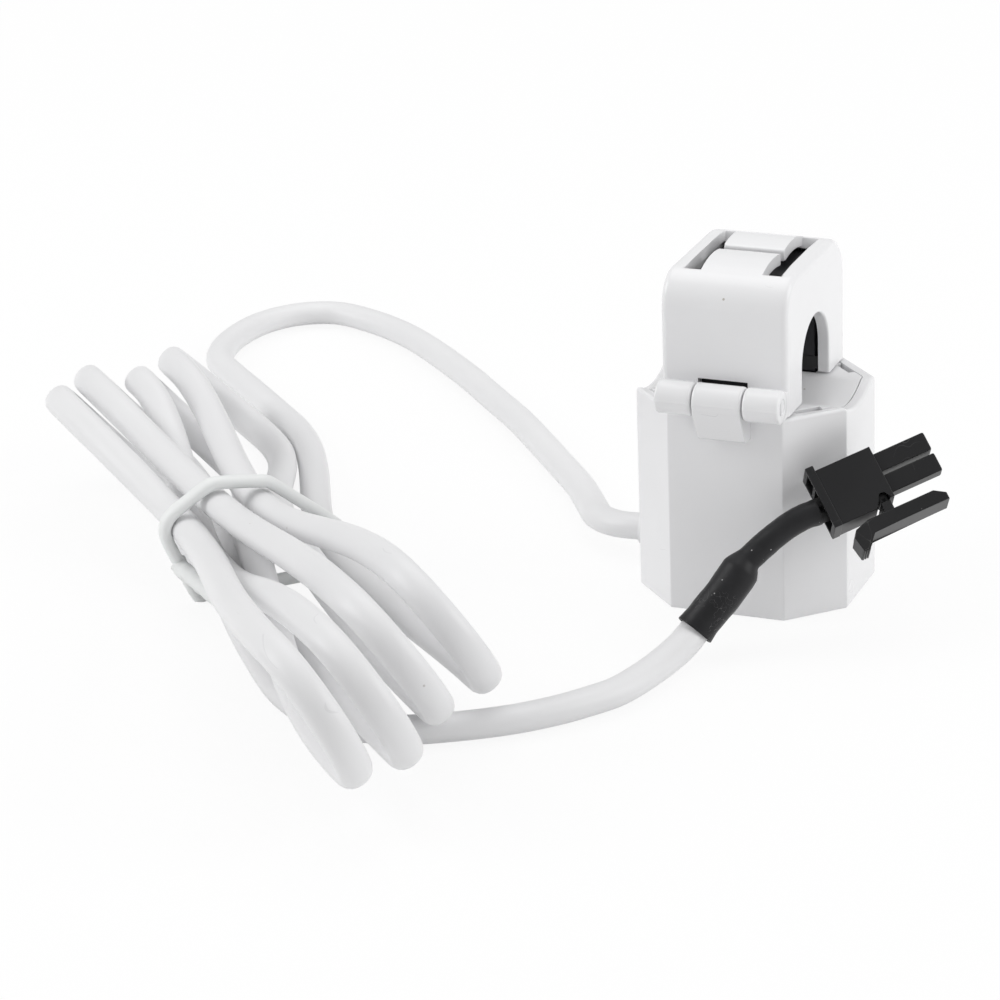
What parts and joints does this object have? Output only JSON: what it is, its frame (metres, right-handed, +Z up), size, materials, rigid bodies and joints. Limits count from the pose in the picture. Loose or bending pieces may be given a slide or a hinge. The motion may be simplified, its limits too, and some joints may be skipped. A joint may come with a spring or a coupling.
{
  "type": "split-core current clamp",
  "caption": "White split-core current clamp with a hinged cover over a conductor window, a tied flat lead and a black two-way latch connector.",
  "frame": {"origin": "middle of the case's flat base", "axes": "+X along the hinge and the conductor, -Y towards the hinge side, +Z up from the base"},
  "size_m": [0.1346, 0.1694, 0.0456],
  "materials": {
    "white_shell": "fine gloss moulding",
    "white_lid": "fine gloss moulding",
    "hinge_pin": "satin",
    "core": "dull coated core",
    "core_shoes": "matte",
    "bobbin": "matte",
    "copper_wire": "enamelled wire",
    "tape": "polyester tape",
    "board": "solder mask",
    "resistor": "lacquer",
    "suppressor": "moulded epoxy",
    "red_wire": "soft jacket",
    "gland": "soft moulding",
    "white_jacket": "satin jacket",
    "tie": "satin coated wire",
    "heat_shrink": "shrunk sleeve",
    "black_wire": "satin jacket",
    "black_nylon": "satin moulding",
    "contact": "plated"
  },
  "bodies": {
    "case": {"body_case": "white_shell", "body_lid": "white_lid", "lower_core": "core", "coil_bobbin": "bobbin", "secondary_winding": "copper_wire", "winding_tape": "tape", "burden_board": "board", "burden_resistor": "resistor", "suppressor": "suppressor", "inner_leads": "red_wire", "cable_gland": "gland", "lead_in": "white_jacket", "cable_hank": "white_jacket", "twist_tie": "tie", "lead_out": "white_jacket", "heat_shrink": "heat_shrink", "connector_wires": "black_wire", "connector_housing": "black_nylon", "crimp_terminals": "contact"},
    "cover": {"core_cover": "white_shell", "hinge_pin": "hinge_pin", "upper_core": "core", "core_shoes": "core_shoes"},
    "latch": {"connector_latch": "black_nylon"}
  },
  "joints": [
    {"name": "cover_hinge", "type": "hinge", "parent": "case", "child": "cover", "pos_m": [0, -0.0148, 0.02985], "axis": [1, 0, 0], "range_deg": [0, 110]},
    {"name": "connector_latch", "type": "hinge", "parent": "case", "child": "latch", "pos_m": [0.02014, -0.01134, 0.01732], "axis": [-0.2907, 0.7067, -0.645], "range_deg": [0, 6], "stiffness_Nm_per_rad": 0.02}
  ]
}
